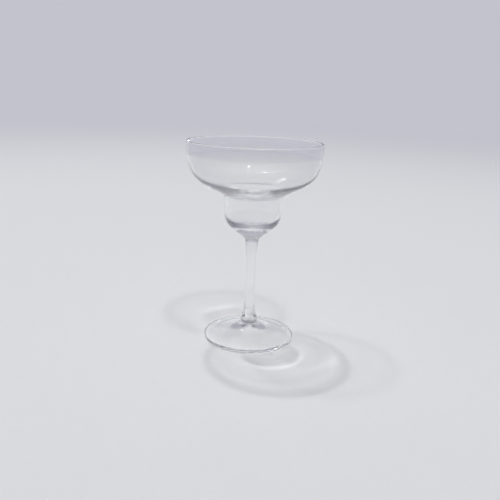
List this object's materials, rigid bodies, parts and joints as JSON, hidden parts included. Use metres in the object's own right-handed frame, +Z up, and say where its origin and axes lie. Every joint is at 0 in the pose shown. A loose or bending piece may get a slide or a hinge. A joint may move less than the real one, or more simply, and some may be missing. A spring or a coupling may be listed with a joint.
{
  "type": "margarita glass",
  "caption": "Clear stemmed cocktail glass with a wide shallow bowl over a narrow rounded well, on a slim waisted stem and a round foot.",
  "frame": {"origin": "on the table, under the middle of the foot", "axes": "+Z up along the axis of the stem; the glass is round about it"},
  "size_m": [0.1134, 0.1134, 0.172],
  "materials": {
    "bowl_glass": "clear, polished, colourless",
    "stem_glass": "clear, polished, colourless",
    "foot_glass": "clear, polished, colourless"
  },
  "bodies": {
    "root": {"bowl": "bowl_glass", "stem": "stem_glass", "foot": "foot_glass"}
  },
  "joints": []
}
